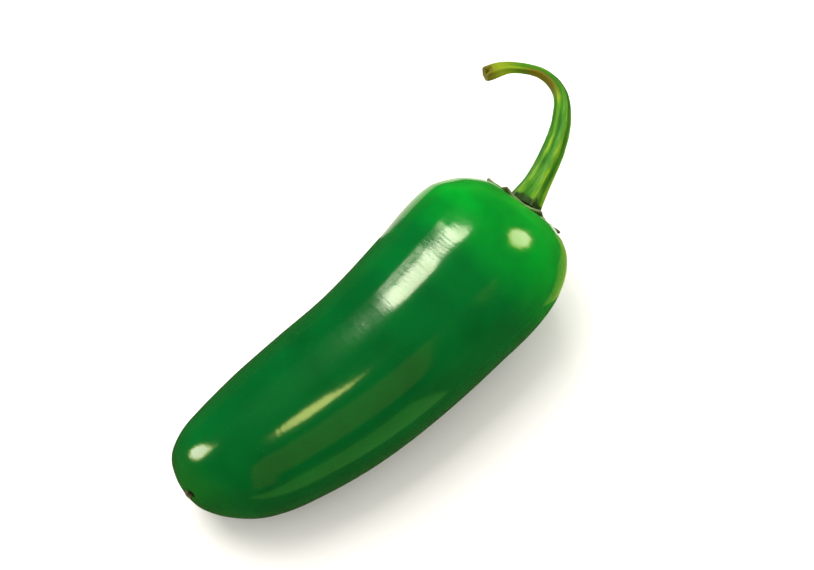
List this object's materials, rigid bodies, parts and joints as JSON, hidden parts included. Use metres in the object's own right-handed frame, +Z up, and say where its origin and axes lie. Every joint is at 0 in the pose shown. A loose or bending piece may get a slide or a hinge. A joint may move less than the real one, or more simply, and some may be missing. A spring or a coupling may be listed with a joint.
{
  "type": "chilli pepper",
  "caption": "Fresh green jalapeño chilli pepper lying on its side, with its ribbed hooked stem, toothed calyx and dried blossom scar.",
  "frame": {"origin": "middle of the flat patch of skin that the pod lies on, half way along the pod", "axes": "+X along the pod from the blossom end to the stem, +Z up, and the stem's hook curls towards +Y"},
  "size_m": [0.1024, 0.0419, 0.0332],
  "materials": {
    "pod_skin": "smooth waxy living skin, high gloss",
    "calyx_green": "dull leafy green with brown tooth tips",
    "stem_green": "satin yellow-green plant stalk, brown at the cut end",
    "scar_cork": "dry corky brown"
  },
  "bodies": {
    "root": {"pod": "pod_skin", "calyx": "calyx_green", "stem": "stem_green", "blossom_scar": "scar_cork"}
  },
  "joints": []
}
